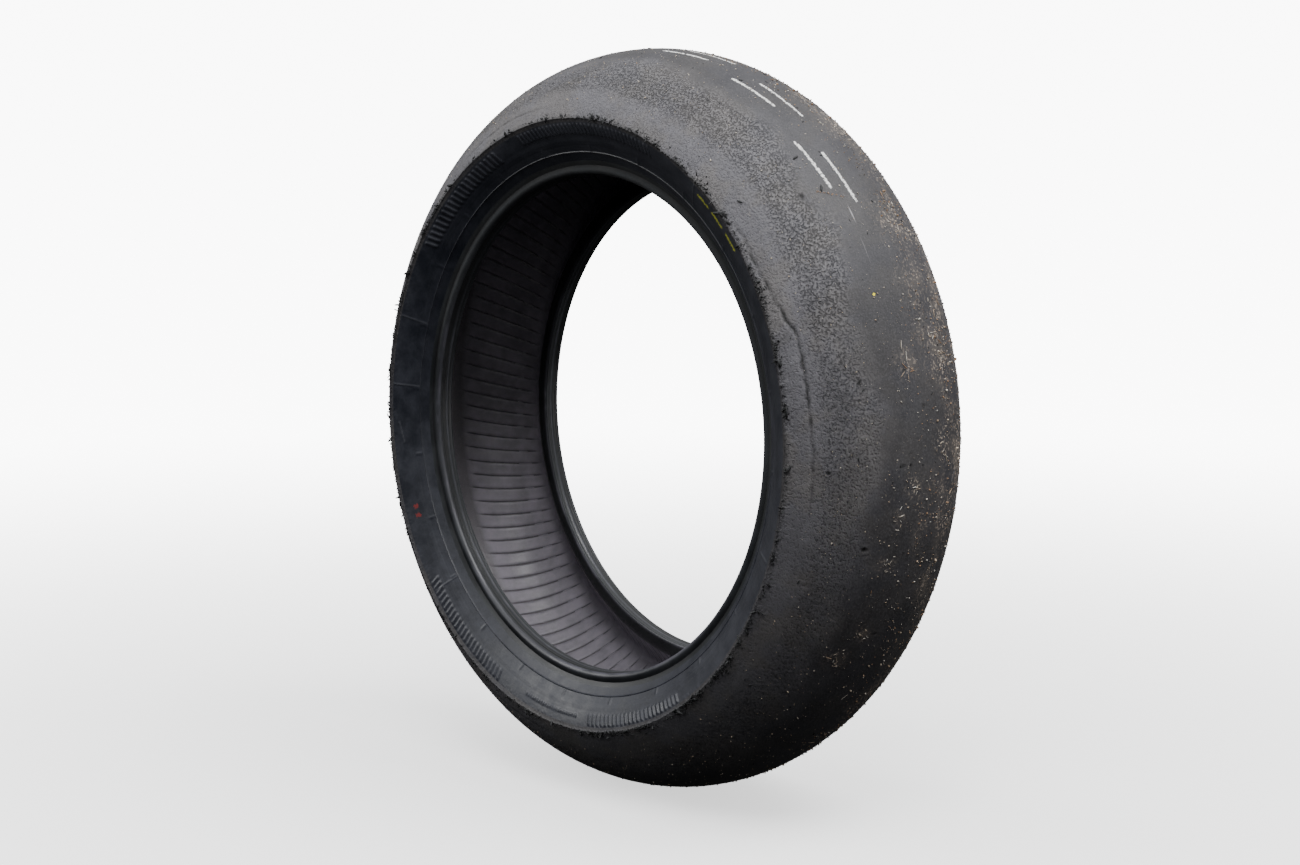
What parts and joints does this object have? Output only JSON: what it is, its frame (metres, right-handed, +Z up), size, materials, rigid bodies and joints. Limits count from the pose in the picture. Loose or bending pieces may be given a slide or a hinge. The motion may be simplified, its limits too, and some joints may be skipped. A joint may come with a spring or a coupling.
{
  "type": "motorcycle tyre",
  "caption": "Used rear racing slick tyre for a 17 inch motorcycle rim, built as separate tread, belt, carcass, liner, sidewall and bead pieces.",
  "frame": {"origin": "the wheel's centre: on the tyre's axis, midway between its two beads", "axes": "+Y along the axis the wheel spins about, +Z up, +X forward"},
  "size_m": [0.652, 0.193, 0.652],
  "materials": {
    "tread_centre_rubber": "matt, worn smooth",
    "tread_shoulder_rubber": "matt, grained and torn",
    "cushion_rubber": "matt",
    "steel_belt": "brass-plated steel cord in rubber",
    "carcass_cord": "textile cord in rubber",
    "liner_rubber": "satin, ribbed",
    "sidewall_rubber": "semi-matt",
    "rim_strip_rubber": "satin",
    "filler_rubber": "matt",
    "bead_wire": "bronze-plated drawn wire"
  },
  "bodies": {
    "root": {"tread_centre": "tread_centre_rubber", "tread_shoulder_left": "tread_shoulder_rubber", "tread_shoulder_right": "tread_shoulder_rubber", "tread_base": "cushion_rubber", "belt": "steel_belt", "belt_cushion_left": "cushion_rubber", "belt_cushion_right": "cushion_rubber", "carcass_ply_outer": "carcass_cord", "carcass_ply_inner": "carcass_cord", "liner_crown": "liner_rubber", "liner_shoulder_left": "liner_rubber", "liner_shoulder_right": "liner_rubber", "liner_flank_left": "liner_rubber", "liner_flank_right": "liner_rubber", "sidewall_left": "sidewall_rubber", "sidewall_right": "sidewall_rubber", "rim_strip_left": "rim_strip_rubber", "rim_strip_right": "rim_strip_rubber", "bead_filler_left": "filler_rubber", "bead_filler_right": "filler_rubber", "bead_rubber_left": "filler_rubber", "bead_rubber_right": "filler_rubber", "bead_wires_left": "bead_wire", "bead_wires_right": "bead_wire"}
  },
  "joints": []
}
